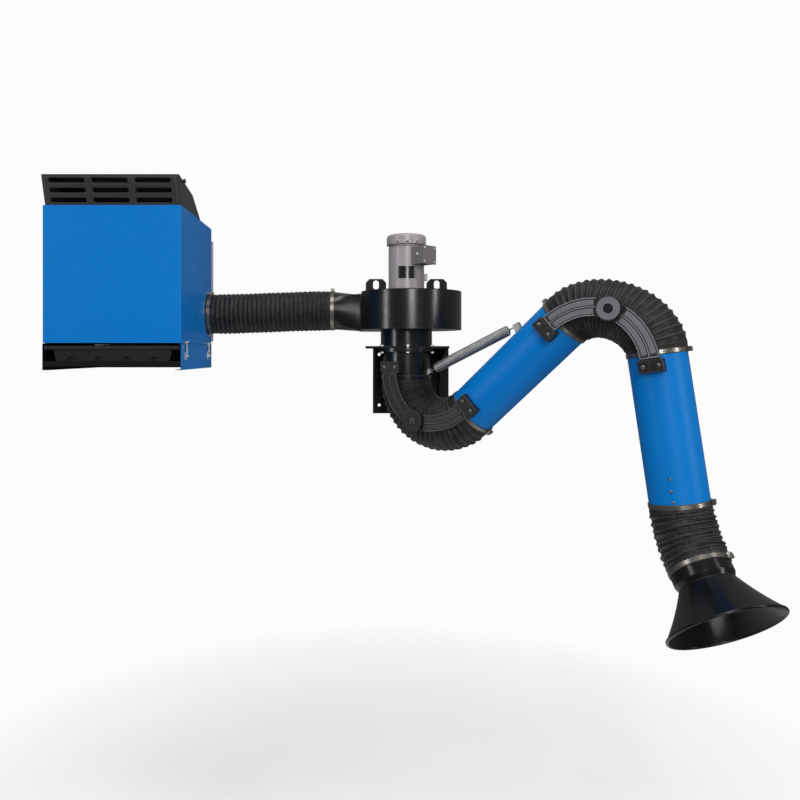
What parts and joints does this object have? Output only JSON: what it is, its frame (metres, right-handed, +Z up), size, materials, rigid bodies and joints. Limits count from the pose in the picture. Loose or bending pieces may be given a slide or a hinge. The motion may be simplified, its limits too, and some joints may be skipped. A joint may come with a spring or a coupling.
{
  "type": "wall-mounted fume extractor with articulated suction arm",
  "caption": "Wall-mounted fume extractor: blue filter cabinet with dust tray, ducted blower on a bracket, and a spring-balanced two-tube suction arm with a flared hood on a gimbal.",
  "frame": {"origin": "centre of the bracket's four wall bolts, in the plane of the wall", "axes": "+X to the right along the wall, +Y into the wall, +Z up; at rest the arm reaches right and forward as in the picture"},
  "size_m": [2.4387, 1.1523, 1.5814],
  "materials": {
    "blue_paint": "gloss",
    "black_paint": "satin",
    "motor_grey": "satin",
    "zinc_steel": "satin",
    "clamp_steel": "satin",
    "galvanised": "matte",
    "filter_paper": "matte",
    "charcoal_plastic": "matte",
    "tray_black": "satin",
    "link_plastic": "matte",
    "hose_black": "satin",
    "hood_gloss": "gloss"
  },
  "bodies": {
    "wall_unit": {"wall_bracket": "black_paint", "swivel_race": "black_paint", "shelf_bolts": "zinc_steel", "neck_duct": "black_paint", "scroll_wrapper": "black_paint", "scroll_bottom_plate": "black_paint", "scroll_top_plate": "black_paint", "outlet_transition": "black_paint", "lifting_lugs": "black_paint", "motor_frame": "motor_grey", "motor_fan_cover": "motor_grey", "terminal_box": "motor_grey", "terminal_cover": "motor_grey", "motor_side_block": "motor_grey", "rear_plenum": "galvanised", "inlet_collar": "black_paint", "wall_rails": "galvanised", "filter_cartridge": "filter_paper", "cabinet_cover": "blue_paint", "exhaust_grille": "charcoal_plastic", "tray_skirt": "blue_paint", "latch_plates": "zinc_steel", "duct_hose": "hose_black", "duct_clamps": "clamp_steel"},
    "rotor": {"impeller": "black_paint", "motor_shaft": "zinc_steel"},
    "tray": {"dust_tray": "tray_black"},
    "right_front_latch": {"latch_right_front": "zinc_steel"},
    "right_rear_latch": {"latch_right_rear": "zinc_steel"},
    "left_front_latch": {"latch_left_front": "zinc_steel"},
    "left_rear_latch": {"latch_left_rear": "zinc_steel"},
    "swivel": {"swivel_tube": "black_paint", "shoulder_base_link_front": "link_plastic", "shoulder_base_link_rear": "link_plastic", "shoulder_pivots": "black_paint", "spring_hook_lower": "zinc_steel", "swivel_clamp": "black_paint"},
    "upper_arm": {"upper_tube": "blue_paint", "shoulder_arm_link_front": "link_plastic", "shoulder_arm_link_rear": "link_plastic", "elbow_upper_link_front": "link_plastic", "elbow_upper_link_rear": "link_plastic", "elbow_pivots": "black_paint", "upper_tube_clamps": "clamp_steel", "spring_hook_upper": "zinc_steel", "counter_spring": "zinc_steel", "shoulder_hose": "hose_black"},
    "lower_arm": {"lower_tube": "blue_paint", "elbow_lower_link_front": "link_plastic", "elbow_lower_link_rear": "link_plastic", "lower_tube_clamps": "clamp_steel", "hood_yoke": "zinc_steel", "elbow_hose": "hose_black"},
    "gimbal": {"gimbal_ring": "zinc_steel", "hood_hose": "hose_black"},
    "hood": {"hood_shell": "hood_gloss", "hood_stirrup": "zinc_steel", "hood_clamp": "clamp_steel"}
  },
  "joints": [
    {"name": "impeller_spin", "type": "hinge", "parent": "wall_unit", "child": "rotor", "pos_m": [0, -0.25, 0.3], "axis": [0, 0, 1], "continuous": true},
    {"name": "tray_slide", "type": "slide", "parent": "wall_unit", "child": "tray", "axis": [0, -1, 0], "range_m": [0, 0.38]},
    {"name": "right_front_latch_swing", "type": "hinge", "parent": "wall_unit", "child": "right_front_latch", "pos_m": [-0.817, -0.512, 0.104], "axis": [0, 1, 0], "range_deg": [0, 115]},
    {"name": "right_rear_latch_swing", "type": "hinge", "parent": "wall_unit", "child": "right_rear_latch", "pos_m": [-0.817, -0.132, 0.104], "axis": [0, 1, 0], "range_deg": [0, 115]},
    {"name": "left_front_latch_swing", "type": "hinge", "parent": "wall_unit", "child": "left_front_latch", "pos_m": [-1.325, -0.512, 0.104], "axis": [0, -1, 0], "range_deg": [0, 115]},
    {"name": "left_rear_latch_swing", "type": "hinge", "parent": "wall_unit", "child": "left_rear_latch", "pos_m": [-1.325, -0.132, 0.104], "axis": [0, -1, 0], "range_deg": [0, 115]},
    {"name": "arm_swivel", "type": "hinge", "parent": "wall_unit", "child": "swivel", "pos_m": [0, -0.25, 0.13], "axis": [0, 0, 1], "range_deg": [-112, 15]},
    {"name": "shoulder_tilt", "type": "hinge", "parent": "swivel", "child": "upper_arm", "pos_m": [0.08554, -0.30555, -0.142], "axis": [0.5446, 0.8387, 0], "range_deg": [-20, 55], "deforming": ["counter_spring", "shoulder_hose"]},
    {"name": "elbow_fold", "type": "hinge", "parent": "upper_arm", "child": "lower_arm", "pos_m": [0.70087, -0.70515, 0.26131], "axis": [0.5446, 0.8387, 0], "range_deg": [-95, 20], "deforming": ["elbow_hose"]},
    {"name": "hood_tilt", "type": "hinge", "parent": "lower_arm", "child": "gimbal", "pos_m": [0.87609, -0.81894, -0.47341], "axis": [0.5446, 0.8387, 0], "range_deg": [-18, 58], "deforming": ["hood_hose"]},
    {"name": "hood_sway", "type": "hinge", "parent": "gimbal", "child": "hood", "pos_m": [0.87609, -0.81894, -0.47341], "axis": [0.7214, -0.4685, 0.5099], "range_deg": [-14, 65], "deforming": ["hood_hose"]}
  ]
}
